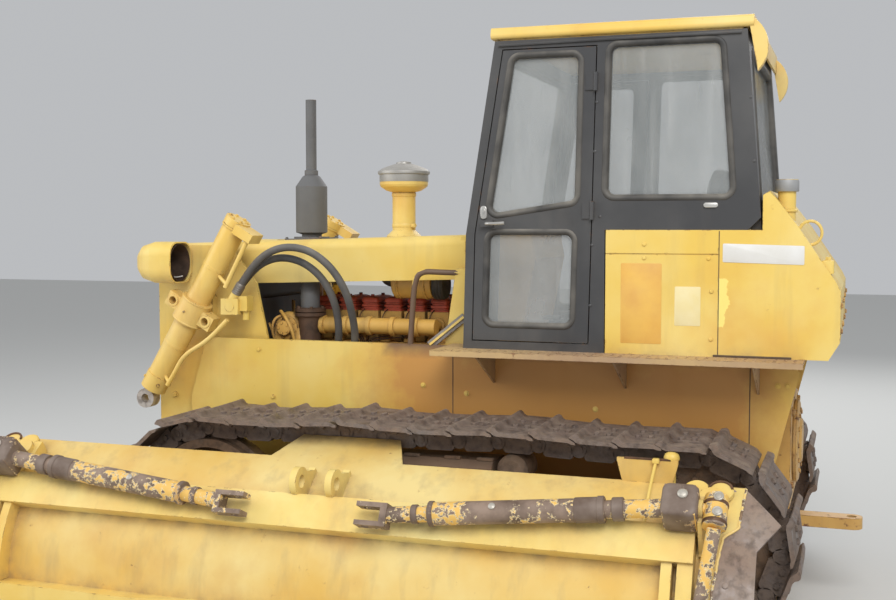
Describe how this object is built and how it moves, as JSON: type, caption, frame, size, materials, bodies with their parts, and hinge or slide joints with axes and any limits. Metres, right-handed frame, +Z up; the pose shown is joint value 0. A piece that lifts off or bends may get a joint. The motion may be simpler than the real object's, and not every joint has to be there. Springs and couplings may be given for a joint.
{
  "type": "crawler bulldozer",
  "caption": "Crawler bulldozer with a cab and steel tracks, its blade taken off and leaning on the left track.",
  "frame": {"origin": "on the ground, under the middle of the whole object's box", "axes": "+X towards the machine's nose, +Y to its left, +Z up"},
  "size_m": [4.618, 2.9209, 2.986],
  "materials": {
    "yellow_paint": "worn yellow paint",
    "engine_paint": "oily orange-yellow paint",
    "cab_black": "satin black paint",
    "window_glass": "clear dusty",
    "track_steel": "dull brown steel with dried soil",
    "running_gear": "rusty cast steel",
    "edge_steel": "rusty steel",
    "dark_grille": "matt dark paint",
    "exhaust_steel": "heat-darkened steel",
    "seat_vinyl": "black vinyl",
    "dash_paint": "satin paint",
    "rod_chrome": "hard chrome, weathered",
    "hose_rubber": "black rubber"
  },
  "bodies": {
    "root": {"blade_back": "yellow_paint", "blade_brace_front": "yellow_paint", "blade_brace_rear": "yellow_paint", "cab_front": "cab_black", "cab_glass": "window_glass", "cab_rear": "cab_black", "cab_side_l": "cab_black", "cab_side_r": "cab_black", "controls": "dash_paint", "cowl": "yellow_paint", "cutting_edge": "edge_steel", "deck": "yellow_paint", "engine": "engine_paint", "exhaust": "exhaust_steel", "fuel_tank": "yellow_paint", "grille": "dark_grille", "hood": "yellow_paint", "hose_inner_l": "hose_rubber", "hose_inner_r": "hose_rubber", "hose_outer_l": "hose_rubber", "hose_outer_r": "hose_rubber", "hull": "yellow_paint", "idler_l": "running_gear", "idler_r": "running_gear", "lamp_pods": "yellow_paint", "moldboard": "yellow_paint", "pre_cleaner": "yellow_paint", "radiator": "dark_grille", "radiator_guard": "yellow_paint", "rollers_l": "running_gear", "rollers_r": "running_gear", "roof": "yellow_paint", "seat": "seat_vinyl", "side_box_l": "yellow_paint", "side_box_r": "yellow_paint", "side_panels": "yellow_paint", "sprocket_l": "running_gear", "sprocket_r": "running_gear", "track_frame_l": "yellow_paint", "track_frame_r": "yellow_paint", "track_l": "track_steel", "track_r": "track_steel", "valve_blocks": "yellow_paint"},
    "door_l": {"door_l": "cab_black", "door_glass_l": "window_glass"},
    "door_r": {"door_r": "cab_black", "door_glass_r": "window_glass"},
    "lift_l": {"lift_barrel_l": "yellow_paint"},
    "lift_r": {"lift_barrel_r": "yellow_paint"},
    "lift_rod_l": {"lift_rod_l": "rod_chrome"},
    "lift_rod_r": {"lift_rod_r": "rod_chrome"},
    "drawbar": {"drawbar": "yellow_paint"}
  },
  "joints": [
    {"name": "door_hinge_l", "type": "hinge", "parent": "root", "child": "door_l", "pos_m": [-1.01798, 0.52252, 2.142], "axis": [-0.0232, 0, 0.9997], "range_deg": [0, 100]},
    {"name": "lift_swing_l", "type": "hinge", "parent": "root", "child": "lift_l", "pos_m": [1.32462, 0.37852, 1.51249], "axis": [0, 1, 0], "range_deg": [-6, 20]},
    {"name": "lift_rod_slide_l", "type": "slide", "parent": "lift_l", "child": "lift_rod_l", "axis": [0.506, 0, -0.8625], "range_m": [0, 0.76]},
    {"name": "door_hinge_r", "type": "hinge", "parent": "root", "child": "door_r", "pos_m": [-1.01798, -1.05548, 2.142], "axis": [0.0232, 0, -0.9997], "range_deg": [0, 100]},
    {"name": "lift_swing_r", "type": "hinge", "parent": "root", "child": "lift_r", "pos_m": [1.32462, -0.91148, 1.51249], "axis": [0, 1, 0], "range_deg": [-6, 20]},
    {"name": "lift_rod_slide_r", "type": "slide", "parent": "lift_r", "child": "lift_rod_r", "axis": [0.506, 0, -0.8625], "range_m": [0, 0.76]},
    {"name": "drawbar_swing", "type": "hinge", "parent": "root", "child": "drawbar", "pos_m": [-1.494, -0.26648, 0.43], "axis": [0, 0, 1], "range_deg": [-20, 20]}
  ]
}
